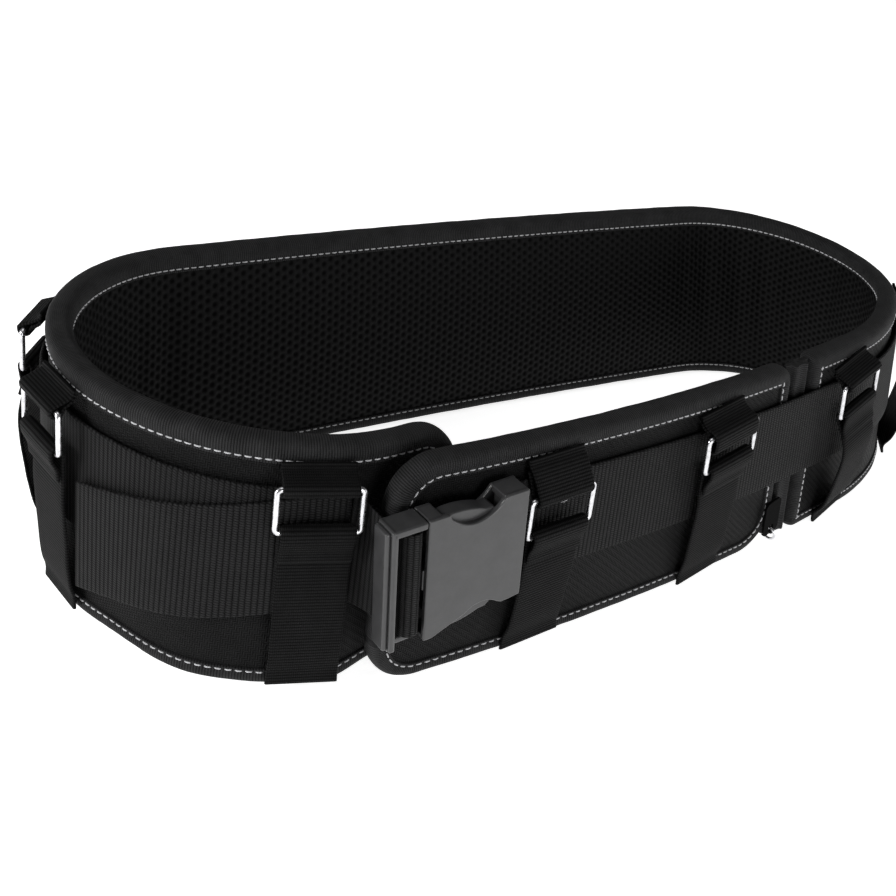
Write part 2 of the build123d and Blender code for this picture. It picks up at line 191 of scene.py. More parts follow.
# ---------------------------------------------------------------- materials
class Shader:
    """A small helper that builds one material's nodes."""

    def __init__(self, name):
        self.material = bpy.data.materials.new(name)
        self.material.use_nodes = True
        self.tree = self.material.node_tree
        self.base = self.tree.nodes["Principled BSDF"]

    def node(self, kind, **settings):
        made = self.tree.nodes.new(kind)
        for key, value in settings.items():
            setattr(made, key, value)
        return made

    def link(self, value, socket):
        if isinstance(value, (int, float)):
            socket.default_value = value
        else:
            self.tree.links.new(value, socket)

    def math(self, operation, first, second=0.0, clamp=False):
        made = self.node("ShaderNodeMath", operation=operation, use_clamp=clamp)
        self.link(first, made.inputs[0])
        self.link(second, made.inputs[1])
        return made.outputs[0]

    def weave_uv(self):
        """u and v of the woven piece, in millimetres along and across it."""
        split = self.node("ShaderNodeSeparateXYZ")
        self.tree.links.new(self.node("ShaderNodeUVMap", uv_map="Weave").outputs[0], split.inputs[0])
        return split.outputs[0], split.outputs[1]

    def object_noise(self, scale, detail=3.0, rough=0.6):
        noise = self.node("ShaderNodeTexNoise")
        noise.inputs["Scale"].default_value = scale
        noise.inputs["Detail"].default_value = detail
        noise.inputs["Roughness"].default_value = rough
        self.tree.links.new(self.node("ShaderNodeTexCoord").outputs["Object"], noise.inputs["Vector"])
        return noise.outputs["Fac"]

    def ridge(self, coordinate, pitch):
        """Rounded ridges, one for each pitch."""
        return self.math("ABSOLUTE", self.math("SINE", self.math("MULTIPLY", coordinate, math.pi / pitch)))

    def cell(self, coordinate, pitch):
        return self.math("FLOOR", self.math("DIVIDE", coordinate, pitch))

    def ramp(self, value, dark, light, low=0.0, high=1.0):
        made = self.node("ShaderNodeValToRGB")
        made.color_ramp.elements[0].position = low
        made.color_ramp.elements[0].color = (*dark, 1)
        made.color_ramp.elements[1].position = high
        made.color_ramp.elements[1].color = (*light, 1)
        self.link(value, made.inputs[0])
        return made.outputs[0]

    def bump(self, height, distance, strength=1.0):
        made = self.node("ShaderNodeBump")
        made.inputs["Distance"].default_value = distance
        made.inputs["Strength"].default_value = strength
        self.link(height, made.inputs["Height"])
        self.tree.links.new(made.outputs[0], self.base.inputs["Normal"])

    def rough(self, value, low, high):
        span = self.math("MULTIPLY", value, high - low)
        self.tree.links.new(self.math("ADD", span, low), self.base.inputs["Roughness"])

    def set(self, **values):
        for key, value in values.items():
            self.base.inputs[key.replace("_", " ")].default_value = value


FLOOR_GLOW = 0.85


def grey(value):
    return (value, value, value * 1.03)


def cloth_material(name, height_of, dark, light, distance, sheen, wear=0.5, gloss=0.14):
    """A woven or knitted cloth: height_of(shader, u, v) gives the threads' height from 0 to 1."""
    shader = Shader(name)
    u, v = shader.weave_uv()
    height = height_of(shader, u, v)
    dust = shader.object_noise(90.0, 4.0, 0.7)
    weave = shader.math("MULTIPLY", height, 1 - wear)
    tone = shader.math("ADD", weave, shader.math("MULTIPLY", dust, wear))
    # The colour follows the threads' height: painted shade where the threads lie low, in the grooves and
    # open cells, and a lighter tone on their tops; the dust noise adds random tone.
    colour = shader.ramp(tone, grey(dark), grey(light), 0.25, 0.85)
    shader.tree.links.new(colour, shader.base.inputs["Base Color"])
    shader.rough(shader.math("SUBTRACT", 1.0, height), 0.55, 0.9)
    shader.bump(shader.math("ADD", height, shader.math("MULTIPLY", dust, 0.25)), distance)
    shader.set(Sheen_Weight=sheen, Sheen_Roughness=0.4, Specular_IOR_Level=gloss)
    return shader.material


def twill(shader, u, v, pitch=1.0):
    """Two over, two under, so that the threads make diagonal ribs."""
    order = shader.math("ADD", shader.cell(u, pitch), shader.cell(v, pitch))
    over = shader.math("GREATER_THAN", shader.math("MODULO", shader.math("ADD", order, 4000.0), 4.0), 1.5)
    under = shader.math("SUBTRACT", 1.0, over)
    warp = shader.math("MULTIPLY", shader.ridge(u, pitch), over)
    weft = shader.math("MULTIPLY", shader.ridge(v, pitch), under)
    return shader.math("ADD", warp, weft)


def ribbed_webbing(shader, u, v):
    """Heavy webbing: ribs across it, each a row of small slanted picks."""
    rib_pitch, pick_pitch = 2.3, 1.1
    rib = shader.ridge(u, rib_pitch)
    odd = shader.math("MULTIPLY", shader.cell(u, rib_pitch), pick_pitch / 2)
    slanted = shader.math("ADD", shader.math("ADD", v, odd), shader.math("MULTIPLY", u, 0.35))
    pick = shader.ridge(slanted, pick_pitch)
    return shader.math("MULTIPLY", shader.math("POWER", rib, 0.6),
                       shader.math("ADD", shader.math("MULTIPLY", pick, 0.65), 0.35))


def strap_weave(shader, u, v):
    """Soft strap: fine rows across it."""
    return shader.math("MULTIPLY", shader.ridge(u, 1.5),
                       shader.math("ADD", shader.math("MULTIPLY", shader.ridge(v, 0.9), 0.6), 0.4))


def grosgrain(shader, u, v):
    """Binding tape: fine ribs across the tape, which runs along u."""
    return shader.math("MULTIPLY", shader.ridge(u, 1.15),
                       shader.math("ADD", shader.math("MULTIPLY", shader.ridge(v, 0.8), 0.35), 0.65))


def air_mesh(shader, u, v, pitch=3.9):
    """Knitted spacer mesh: a hexagonal lattice of open cells."""
    turn, hexagon_slant = 2 * math.pi / pitch, 0.866
    total = shader.math("COSINE", shader.math("MULTIPLY", u, turn))
    for side in (1, -1):
        across = shader.math("MULTIPLY", v, side * hexagon_slant)
        mixed = shader.math("ADD", shader.math("MULTIPLY", u, 0.5), across)
        wave = shader.math("COSINE", shader.math("MULTIPLY", mixed, turn))
        total = shader.math("ADD", total, wave)
    cells = shader.math("DIVIDE", shader.math("ADD", total, 1.5), 4.5)
    return shader.math("SUBTRACT", 1.0, cells, clamp=True)


def plastic_material():
    shader = Shader("moulded_plastic")
    grain = shader.object_noise(2500.0, 2.0)
    scuff = shader.object_noise(120.0, 4.0, 0.75)
    colour = shader.ramp(scuff, grey(0.022), grey(0.032), 0.35, 0.7)
    shader.tree.links.new(colour, shader.base.inputs["Base Color"])
    shader.rough(scuff, 0.26, 0.38)
    shader.bump(grain, 0.00003, 0.5)
    shader.set(Specular_IOR_Level=0.5)
    return shader.material


def metal_material():
    shader = Shader("nickel_wire")
    scuff = shader.object_noise(400.0, 5.0, 0.7)
    colour = shader.ramp(scuff, grey(0.42), grey(0.78), 0.3, 0.65)
    shader.tree.links.new(colour, shader.base.inputs["Base Color"])
    shader.rough(scuff, 0.18, 0.36)
    shader.bump(scuff, 0.00004, 0.4)
    shader.set(Metallic=1.0)
    return shader.material


def thread_material(name, dark, light):
    shader = Shader(name)
    u, v = shader.weave_uv()
    twist = shader.ridge(shader.math("ADD", u, v), 0.5)
    fuzz = shader.object_noise(700.0)
    tone = shader.math("MULTIPLY", shader.math("ADD", twist, fuzz), 0.5)
    # The colour follows the twist: painted shade in the twist's grooves and a lighter tone on its ridges,
    # with the fuzz noise adding random tone.
    colour = shader.ramp(tone, grey(dark), grey(light), 0.2, 0.8)
    shader.tree.links.new(colour, shader.base.inputs["Base Color"])
    shader.rough(fuzz, 0.55, 0.8)
    shader.bump(twist, 0.00008)
    shader.set(Sheen_Weight=0.2)
    return shader.material


def foam_material():
    shader = Shader("cut_foam")
    pores = shader.object_noise(900.0, 5.0, 0.8)
    shader.tree.links.new(shader.ramp(pores, grey(0.008), grey(0.03)), shader.base.inputs["Base Color"])
    shader.rough(pores, 0.8, 0.95)
    shader.bump(pores, 0.0003)
    return shader.material


def floor_material():
    shader = Shader("pale_floor")
    mottle = shader.object_noise(6.0, 2.0)
    colour = shader.ramp(mottle, (0.86, 0.86, 0.86), (0.9, 0.9, 0.9))
    shader.tree.links.new(colour, shader.base.inputs["Base Color"])
    shader.rough(mottle, 0.7, 0.8)
    shader.set(Emission_Color=(1.0, 1.0, 1.0, 1.0), Emission_Strength=FLOOR_GLOW)
    return shader.material


WOVEN = cloth_material("woven_nylon", twill, 0.0006, 0.008, 0.00028, 0.006, gloss=0.08)
MESH = cloth_material("air_mesh", air_mesh, 0.0003, 0.0045, 0.0008, 0.0, 0.15, gloss=0.06)
TAPE = cloth_material("binding_tape", grosgrain, 0.002, 0.026, 0.00028, 0.02, 0.6, gloss=0.10)
WEBBING = cloth_material("ribbed_webbing", ribbed_webbing, 0.0005, 0.013, 0.00045, 0.008, 0.3, gloss=0.10)
STRAP = cloth_material("strap_weave", strap_weave, 0.0005, 0.007, 0.00028, 0.006, 0.45, gloss=0.07)
THREAD = thread_material("pale_thread", 0.16, 0.60)
PLASTIC = plastic_material()
METAL = metal_material()
FOAM = foam_material()


# ---------------------------------------------------------------- mesh helpers
def new_piece(name, points, faces, material, uv=None, body="belt", slot=None, replaces=()):
    """A smooth-shaded mesh piece that rides on a body. uv: each point's place in the weave, in mm."""
    mesh = bpy.data.meshes.new(name)
    mesh.from_pydata(np.asarray(points).tolist(), [], [list(map(int, f)) for f in faces])
    if uv is not None:
        corners = np.empty(len(mesh.loops), np.int32)
        mesh.loops.foreach_get("vertex_index", corners)
        layer = mesh.uv_layers.new(name="Weave")
        layer.data.foreach_set("uv", np.asarray(uv, np.float32)[corners].ravel())
    mesh.materials.append(material)
    work = bmesh.new()
    work.from_mesh(mesh)
    bmesh.ops.recalc_face_normals(work, faces=work.faces)
    work.to_mesh(mesh)
    work.free()
    mesh.shade_smooth()
    piece = bpy.data.objects.new(name, mesh)
    bpy.context.scene.collection.objects.link(piece)
    if body:
        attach(piece, body)
    if replaces:
        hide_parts(*replaces)
    return piece


def lattice(rows, columns, wrap_rows=False, wrap_columns=False):
    """Quads of a rows x columns lattice of points, whose index is row * columns + column."""
    r = np.arange(rows if wrap_rows else rows - 1)
    c = np.arange(columns if wrap_columns else columns - 1)
    r, c = (a.ravel() for a in np.meshgrid(r, c, indexing="ij"))
    r1, c1 = (r + 1) % rows, (c + 1) % columns
    return np.stack([r * columns + c, r * columns + c1, r1 * columns + c1, r1 * columns + c], -1)


def lofted(name, rings, uv, closed_path, **settings):
    """A closed skin through rings of points (rings, points, 3), capped unless the path closes."""
    count, around = rings.shape[:2]
    faces = [tuple(f) for f in lattice(count, around, closed_path, True)]
    if not closed_path:
        faces += [tuple(range(around)), tuple((count - 1) * around + i for i in range(around))]
    return new_piece(name, rings.reshape(-1, 3), faces, uv=uv.reshape(-1, 2), **settings)


def smooth_curve(points, step):
    """A Catmull-Rom curve through 2-D points, sampled about every step."""
    points = np.asarray(points, float)
    padded = np.vstack([2 * points[0] - points[1], points, 2 * points[-1] - points[-2]])
    out = []
    for a, b, c, d in zip(padded, padded[1:], padded[2:], padded[3:]):
        count = max(1, int(round(np.linalg.norm(c - b) / step)))
        for t in np.arange(count) / count:
            out.append(0.5 * (2 * b + (c - a) * t + (2 * a - 5 * b + 4 * c - d) * t ** 2
                              + (3 * b - a - 3 * c + d) * t ** 3))
    return np.array(out + [points[-1]])


def run_lengths(points):
    return np.concatenate([[0], np.cumsum(np.linalg.norm(np.diff(points, axis=0), axis=1))])


def ripple(x, seed):
    """A gentle wave from -1 to 1 with no visible period."""
    second = 0.6 * np.sin(x * 1.37 + 2.1 * seed)
    return (np.sin(x * 0.61 + seed) + second + 0.4 * np.sin(x * 2.9 + 3.7 * seed)) / 2


def flat_section(width, thickness, across=9):
    """Outline of a flat strap's cross-section: (across, through) points with softly rounded edges."""
    half, edge = width / 2, thickness / 2
    run = np.linspace(-half + edge, half - edge, across)
    front = [(x, edge) for x in run]
    back = [(x, -edge) for x in run[::-1]]
    right = [(half - edge * 0.3, edge * 0.7), (half, 0.0), (half - edge * 0.3, -edge * 0.7)]
    left = [(-x, -y) for x, y in right]
    return np.array(front + right + back + left)


def strap(name, axes, path, width, thickness, seed=0.0, flare=0.0, wave=0.25, **settings):
    """A flat strap swept along a 2-D path (outwards, up) in mm, in the plane given by axes."""
    origin, out, up, along = axes
    length = run_lengths(path)
    tangent = np.gradient(path, axis=0)
    tangent /= np.linalg.norm(tangent, axis=1)[:, None]
    normal = np.stack([tangent[:, 1], -tangent[:, 0]], -1)
    section = flat_section(width, thickness)
    spread = 1 + 0.012 * ripple(length * 0.25, seed) + flare * np.clip(1 - length / 30.0, 0, 1) ** 2
    cross = section[None, :, 0] * spread[:, None]
    edge_curl = (cross / width) ** 2 * ripple(length * 0.14, seed + 1.0)[:, None]
    twist = (cross / width) * ripple(length * 0.09, seed + 2.0)[:, None]
    fade = np.clip(np.minimum(length, length[-1] - length) / 12.0, 0, 1)[:, None]
    lift = section[None, :, 1] + wave * fade * (2.0 * edge_curl + twist)
    flat = path[:, None, :] + normal[:, None, :] * lift[:, :, None]
    rings = origin + MM * (flat[..., :1] * out + flat[..., 1:] * up + cross[..., None] * along)
    uv = np.stack(np.broadcast_arrays(length[:, None], cross), -1)
    return lofted(name, rings, uv, False, **settings)


def prisms(name, solids, **settings):
    """Bevelled blocks in the buckle's frame, joined in one piece. Each is (outline, back, front, bevel)."""
    origin, along, up, out = buckle_axes()
    work = bmesh.new()
    for outline, back, front, bevel in solids:
        part = bmesh.new()
        rings = [[part.verts.new(origin + MM * (u * along + v * up + w * out)) for u, v in outline]
                 for w in (back, front)]
        count = len(outline)
        part.faces.new(rings[0])
        part.faces.new(rings[1])
        for i in range(count):
            j = (i + 1) % count
            part.faces.new((rings[0][i], rings[0][j], rings[1][j], rings[1][i]))
        bmesh.ops.recalc_face_normals(part, faces=part.faces)
        sharp = [e for e in part.edges if e.calc_face_angle(0) > math.radians(30)]
        bmesh.ops.bevel(part, geom=sharp, offset=bevel * MM, segments=3, profile=0.5, affect="EDGES",
                        clamp_overlap=True)
        mesh = bpy.data.meshes.new("part")
        part.to_mesh(mesh)
        part.free()
        work.from_mesh(mesh)
        bpy.data.meshes.remove(mesh)
    mesh = bpy.data.meshes.new(name)
    work.to_mesh(mesh)
    work.free()
    points = np.array([v.co for v in mesh.vertices])
    faces = [tuple(p.vertices) for p in mesh.polygons]
    bpy.data.meshes.remove(mesh)
    piece = new_piece(name, points, faces, PLASTIC, slot="buckle_plastic", **settings)
    piece.data.shade_smooth()
    shade = piece.modifiers.new("Normals", "WEIGHTED_NORMAL")
    shade.keep_sharp = True
    return piece


def arc_through(first, middle, last, count):
    """Points of the circular arc through three points."""
    a, b, c = (complex(*p) for p in (first, middle, last))
    w = (c - a) / (b - a)
    centre = a + (b - a) * ((w - abs(w) ** 2) / (2j * w.imag))
    start, mid, end = (math.atan2((p - centre).imag, (p - centre).real) for p in (a, b, c))
    turn = (end - start) % (2 * math.pi)
    if (mid - start) % (2 * math.pi) > turn:
        turn -= 2 * math.pi
    radius = abs(a - centre)
    return [(centre.real + radius * math.cos(start + turn * i / count),
             centre.imag + radius * math.sin(start + turn * i / count)) for i in range(count + 1)]


# ---------------------------------------------------------------- pads
def pad_outline(pad, inset, step):
    """(s, z) points round a pad's edge, anticlockwise from its low first corner, without repeats."""
    first, last, radii = pad
    first, last, low, high = first + inset, last - inset, inset, PAD_HEIGHT - inset
    corners = [(first, low, 180), (last, low, 270), (last, high, 0), (first, high, 90)]
    points = []
    for (s, z, start), radius in zip(corners, radii):
        r = max(radius - inset, 1.5)
        centre_s = s + r if s == first else s - r
        centre_z = z + r if z == low else z - r
        count = max(4, int(r * math.pi / 2 / step) + 1)
        for i in range(count + 1):
            angle = math.radians(start + 90 * i / count)
            points.append((centre_s + r * math.cos(angle), centre_z + r * math.sin(angle)))
    dense = []
    for a, b in zip(points, points[1:] + points[:1]):
        a, b = np.array(a), np.array(b)
        count = max(1, int(np.linalg.norm(b - a) / step))
        dense += [a + (b - a) * i / count for i in range(count)]
    return np.array(dense)


def outline_normals(outline):
    """Unit directions into the pad at each point of its outline."""
    along = np.roll(outline, -1, 0) - np.roll(outline, 1, 0)
    along /= np.linalg.norm(along, axis=1)[:, None]
    return np.stack([-along[:, 1], along[:, 0]], -1)


def tape_scale(z):
    """The tape shows wider at the top edge than at the bottom edge."""
    share = np.clip(z / PAD_HEIGHT, 0, 1)
    return (TAPE_BOTTOM + (TAPE_TOP - TAPE_BOTTOM) * share) / TAPE_TOP


def make_binding(name, pad, seed):
    """The folded tape round a pad: a rounded edge that is pinched where it is stitched."""
    outline = pad_outline(pad, 0.0, 2.5)
    inward = outline_normals(outline)
    length = np.concatenate([[0], np.cumsum(np.linalg.norm(np.diff(outline, axis=0), axis=1))])
    pinch = TAPE_TOP - STITCH_INSET
    profile = np.array([
        (TAPE_TOP, -1.7), (TAPE_TOP, -0.75), (TAPE_TOP - 0.4, -0.5), (pinch + 0.5, -0.75),
        (pinch - 0.3, -0.85), (pinch - 1.6, -0.35), (4.6, 0.0), (2.6, -0.35), (1.2, -1.5), (0.3, -3.4),
        (0.0, -6.0),
        (0.3, -8.6), (1.2, -10.5), (2.6, -11.65), (4.6, -12.0), (pinch - 1.6, -11.65),
        (pinch - 0.3, -11.15), (pinch + 0.5, -11.25), (TAPE_TOP - 0.4, -11.5), (TAPE_TOP, -11.25),
        (TAPE_TOP, -10.3),
    ])
    scale = tape_scale(outline[:, 1])[:, None]
    soft = ripple(length * 0.32, seed)[:, None]
    offset = profile[None, :, 0] * scale + 0.12 * soft
    middle = -PAD_THICKNESS / 2
    swell = 1 + 0.025 * ripple(length * 0.21, seed + 4.0)[:, None]
    depth = middle + (profile[None, :, 1] - middle) * swell
    s = outline[:, None, 0] + inward[:, None, 0] * offset
    z = outline[:, None, 1] + inward[:, None, 1] * offset
    rings = wall(s, depth, z)
    across = np.concatenate([[0], np.cumsum(np.linalg.norm(np.diff(profile, axis=0), axis=1))])
    uv = np.stack(np.broadcast_arrays(length[:, None], across[None]), -1)
    piece = lofted(name + "_binding_tape", rings, uv, True, material=TAPE, slot="edge_binding",
                   replaces=(name + "_binding",))
    smooth = piece.modifiers.new("Smooth", "SUBSURF")
    smooth.levels = smooth.render_levels = 1
    return piece


def capsules(centres, along, out, length, radius):
    """Points, faces and weave places of short threads, one for each centre."""
    side = np.cross(along, out)
    steps = [(-0.5, 0.25, -0.9), (-0.42, 0.8, -0.3), (-0.2, 1.0, 0.25), (0.2, 1.0, 0.25), (0.42, 0.8, -0.3),
             (0.5, 0.25, -0.9)]
    angles = np.arange(6) * math.pi / 3
    points, uv = [], []
    for t, girth, rise in steps:
        for a in angles:
            points.append(centres + along * (t * length) + side * (radius * girth * math.cos(a))
                          + out * (radius * (girth * math.sin(a) + rise)))
            uv.append((t * length / MM, a / 3))
    count, per = len(centres), len(points)
    points = np.stack(points, 1).reshape(-1, 3)
    tube = [tuple(f) for f in lattice(len(steps), 6, False, True)]
    tube += [tuple(range(6)), tuple(range(per - 6, per))]
    faces = [tuple(i * per + k for k in f) for i in range(count) for f in tube]
    return points, faces, np.tile(np.array(uv), (count, 1))


def make_stitches(name, pad):
    """The pale stitches that hold a pad's tape, on both faces."""
    outline = pad_outline(pad, 0.0, 1.0)
    inward = outline_normals(outline)
    scale = tape_scale(outline[:, 1])[:, None]
    line = outline + inward * (TAPE_TOP - STITCH_INSET) * scale
    closed = np.vstack([line, line[:1]])
    length = run_lengths(closed)
    count = int(length[-1] / STITCH_PITCH)
    middle = (np.arange(count) + 0.5) * length[-1] / count

    def at(distance, depth):
        s = np.interp(distance, length, closed[:, 0])
        z = np.interp(distance, length, closed[:, 1])
        return wall(s, depth, z)

    points, faces, uvs, begun = [], [], [], 0
    for depth, away in ((-0.72, 1.0), (-11.28, -1.0)):
        centre = at(middle, depth)
        along = at(middle + 0.5, depth) - at(middle - 0.5, depth)
        along /= np.linalg.norm(along, axis=1)[:, None]
        out = at(middle, depth + away) - centre
        out /= np.linalg.norm(out, axis=1)[:, None]
        p, f, uv = capsules(centre, along, out, 3.1 * MM, 0.36 * MM)
        points.append(p)
        faces += [tuple(k + begun for k in face) for face in f]
        uvs.append(uv)
        begun += len(p)
    return new_piece(name + "_stitches", np.vstack(points), faces, THREAD, uv=np.vstack(uvs),
                     slot="edge_binding")


def pad_columns(pad, inset, step):
    """s places of a pad's columns, closer together round its corners."""
    first, last, radii = pad[0] + inset, pad[1] - inset, pad[2]
    reach = [max(radii[0], radii[3]), max(radii[1], radii[2])]
    turn = 1 - np.cos(np.linspace(0, math.pi / 2, 9))
    left, right = first + reach[0] * turn, last - reach[1] * turn[::-1]
    count = max(2, int((right[0] - left[-1]) / step))
    return np.concatenate([left, np.linspace(left[-1], right[0], count + 1)[1:-1], right])


def pad_limits(pad, inset, s):
    """Lowest and highest z of a pad's field at each s."""
    first, last = pad[0] + inset, pad[1] - inset
    r = [max(x - inset, 1.5) for x in pad[2]]
    limits = []
    for near_first, near_last in ((r[0], r[1]), (r[3], r[2])):
        a = np.clip(near_first - (s - first), 0, near_first)
        b = np.clip(near_last - (last - s), 0, near_last)
        first_rise = near_first - np.sqrt(near_first ** 2 - a ** 2)
        last_rise = near_last - np.sqrt(near_last ** 2 - b ** 2)
        limits.append(first_rise + last_rise)
    return inset + limits[0], PAD_HEIGHT - inset - limits[1]


# where a pad's faces begin, how far inside its faces they start, and how far they may swell (mm)
FIELD_INSET = 4.5
FACE_START = 1.6
OUTER_SWELL = 0.9
INNER_SWELL = 2.6
ROWS_ACROSS = 24
COLUMN_STEP = {"front": 4.0, "main": 5.0}
# the cloth simulation that swells the pads
CLOTH_FRAMES = 20
CLOTH_MASS = 0.02
CLOTH_STIFFNESS = 8
CLOTH_BENDING = 0.4
CLOTH_PRESSURE = 4.0
# what each face may reach where the webbing lies on it, and elsewhere (mm)
UNDER_WEBBING, CLEAR_OF_WEBBING = 0.1, 0.9
LINING_SKIN = 1.0
CORE_GAP = 1.2


def field_grid(pad, step):
    s = pad_columns(pad, FIELD_INSET, step)
    low, high = pad_limits(pad, FIELD_INSET, s)
    share = np.linspace(0, 1, ROWS_ACROSS)
    z = low[:, None] + (high - low)[:, None] * share[None]
    return np.broadcast_to(s[:, None], z.shape), z


def edge_distance(pad, s, z):
    """How far a point of the pad's field is from the edge, in mm."""
    low, high = pad_limits(pad, 0.0, s)
    return np.minimum(np.minimum(z - low, high - z), np.minimum(s - pad[0], pad[1] - s))


def rim_faces(columns, rows):
    """Quads that join the rims of two grids of columns x rows points, the second one after the first."""
    half = columns * rows
    rim = [i * rows for i in range(columns)] + [(columns - 1) * rows + j for j in range(1, rows)]
    rim += [i * rows + rows - 1 for i in range(columns - 2, -1, -1)] + list(range(rows - 2, 0, -1))
    return [(a, b, b + half, a + half) for a, b in zip(rim, rim[1:] + rim[:1])]


def swollen(pad, s, z):
    """Swells the closed pad by cloth simulation, and gives the depth d of its two faces."""
    columns, rows = z.shape
    outer, inner = -FACE_START, -PAD_THICKNESS + FACE_START
    start = np.concatenate([wall(s, outer, z).reshape(-1, 3), wall(s, inner, z).reshape(-1, 3)])
    half = columns * rows
    faces = [tuple(f) for f in lattice(columns, rows)]
    faces += [tuple(k + half for k in f[::-1]) for f in lattice(columns, rows)]
    faces += rim_faces(columns, rows)
    work = new_piece("swelling_pad", start, faces, FOAM, body=None)
    held = work.vertex_groups.new(name="held")
    near = edge_distance(pad, s, z).ravel() < TAPE_TOP - STITCH_INSET
    held.add([int(i) for i in np.flatnonzero(np.concatenate([near, near]))], 1.0, "ADD")
    cloth = work.modifiers.new("Cloth", "CLOTH")
    cloth.settings.quality = 4
    cloth.settings.mass = CLOTH_MASS
    cloth.settings.tension_stiffness = cloth.settings.compression_stiffness = CLOTH_STIFFNESS
    cloth.settings.bending_stiffness = CLOTH_BENDING
    cloth.settings.use_pressure = True
    cloth.settings.uniform_pressure_force = CLOTH_PRESSURE
    cloth.settings.effector_weights.gravity = 0
    cloth.settings.vertex_group_mass = "held"
    scene = bpy.context.scene
    cloth.point_cache.frame_start, cloth.point_cache.frame_end = 1, CLOTH_FRAMES
    for number in range(1, CLOTH_FRAMES + 1):
        scene.frame_set(number)
    result = work.evaluated_get(bpy.context.evaluated_depsgraph_get())
    moved = np.empty(len(start) * 3)
    result.data.vertices.foreach_get("co", moved)
    shift = np.linalg.norm(moved.reshape(-1, 3) - start, axis=1) / MM
    bpy.data.objects.remove(work)
    scene.frame_set(1)
    print("swell", round(float(shift.max()), 2), "mm, mean", round(float(shift.mean()), 2))
    return shift[:half].reshape(z.shape), shift[half:].reshape(z.shape)


def settled(shift, most):
    """A soft limit on how far a face may swell."""
    return most * np.tanh(shift / most)


def pad_faces(name, pad, seed):
    """Depth of the outer and inner face over the pad's field."""
    s, z = field_grid(pad, COLUMN_STEP[name])
    front, back = swollen(pad, s, z)
    near = np.exp(-np.clip(edge_distance(pad, s, z) - 8, 0, None) / 6)
    pucker = 0.28 * near * ripple(s * 0.9 + 2 * ripple(z * 0.1, seed), seed)
    outer = -FACE_START + settled(front, FACE_START + OUTER_SWELL) + pucker
    under = (z > WEBBING_Z[0] - 4) & (z < WEBBING_Z[1] + 4)
    outer = np.minimum(outer, np.where(under, UNDER_WEBBING, CLEAR_OF_WEBBING))
    inner = -PAD_THICKNESS + FACE_START - settled(back, FACE_START + INNER_SWELL) - pucker
    return s, z, outer, inner


def make_pad(name, pad, seed):
    """The padded body of a pad, its mesh lining, its binding tape and the stitches."""
    s, z, outer, inner = pad_faces(name, pad, seed)
    columns, rows = z.shape
    half = columns * rows
    core = inner + CORE_GAP
    points = np.concatenate([wall(s, outer, z).reshape(-1, 3), wall(s, core, z).reshape(-1, 3)])
    faces = [tuple(f) for f in lattice(columns, rows)]
    faces += [tuple(k + half for k in f) for f in lattice(columns, rows)]
    faces += rim_faces(columns, rows)
    uv = np.stack([s, z], -1).reshape(-1, 2)
    body = new_piece(name + "_padding", points, faces, WOVEN, uv=np.vstack([uv, uv]),
                     slot="woven_shell", replaces=(name + "_shell", name + "_foam"))
    skin = np.concatenate([wall(s, inner + LINING_SKIN, z).reshape(-1, 3),
                           wall(s, inner, z).reshape(-1, 3)])
    lining = new_piece(name + "_mesh_lining", skin, faces, MESH, uv=np.vstack([uv, uv]),
                       slot="mesh_lining", replaces=(name + "_lining",))
    for piece in (body, lining):
        smooth = piece.modifiers.new("Smooth", "SUBSURF")
        smooth.levels = smooth.render_levels = 1
    make_binding(name, pad, seed)
    make_stitches(name, pad)


def make_join_strip(name, first, last):
    """A narrow strip between two pads: a rolled edge on each long side, and a thin wing to each pad."""
    z = np.linspace(2.0, PAD_HEIGHT - 2.0, 60)
    half = (last - first) / 2
    crest = [(half, -3.4), (half - 0.7, -2.0), (half - 2.0, -1.7), (half - 3.2, -2.6)]
    wing = [(half - 0.8, -7.6), (half + 3.8, -6.9), (half + 3.8, -5.3), (half, -4.9)]
    right = wing + crest
    left = [(-x, depth) for x, depth in right[::-1]]
    profile = np.array(right + [(0.0, -2.9)] + left + [(0.0, -7.9)])
    sway = 0.25 * ripple(z * 0.12, first)[:, None]
    s = (first + last) / 2 + profile[None, :, 0] + sway
    rings = wall(s, profile[None, :, 1] + 0 * s, z[:, None] + 0 * s)
    across = np.concatenate([[0], np.cumsum(np.linalg.norm(np.diff(profile, axis=0), axis=1))])
    uv = np.stack(np.broadcast_arrays(z[:, None], across[None]), -1)
    lofted(name + "_cloth", rings, uv, False, material=TAPE, slot="edge_binding", replaces=(name,))


# ---------------------------------------------------------------- webbing
def wall_band(name, s_values, centre_z, width, depths, lift=0.0, **settings):
    """A band of webbing along the wall. lift moves it outwards, for each of its s values or for all."""
    section = flat_section(width, depths[1] - depths[0], 13)
    z = centre_z(s_values)[:, None] + section[None, :, 0]
    d = sum(depths) / 2 + section[None, :, 1] + np.broadcast_to(lift, s_values.shape)[:, None]
    s = np.broadcast_to(s_values[:, None], z.shape)
    uv = np.stack(np.broadcast_arrays(s, section[None, :, 0]), -1)
    return lofted(name, wall(s, d, z), uv, False, **settings)


def make_webbing():
    s = np.arange(WEBBING_S[0], WEBBING_S[1] + 1, 3.0)
    middle = sum(WEBBING_Z) / 2
    wall_band("waist_webbing_band", s, lambda x: middle + 0.25 * ripple(x * 0.03, 1.0),
              WEBBING_Z[1] - WEBBING_Z[0], WEBBING_D, material=WEBBING, slot="webbing",
              replaces=("waist_webbing",))


def make_tail():
    """The folded-back loose end, which droops towards its cut end and stands a little off there."""
    span = TAIL_S[1] - TAIL_S[0]
    s = np.linspace(TAIL_S[0], TAIL_S[1], int(span / 2) + 1)
    far = (TAIL_S[1] - s) / span
    centre_s = sum(TAIL_S) / 2
    width = WEBBING_Z[1] - WEBBING_Z[0]
    wall_band("webbing_tail_band", s, lambda x: TAIL_MIDDLE_Z + math.tan(TAIL_DROOP) * (x - centre_s),
              width, TAIL_D, lift=TAIL_LIFT + TAIL_CURL * far ** 2, material=WEBBING, slot="webbing",
              replaces=("webbing_tail",))


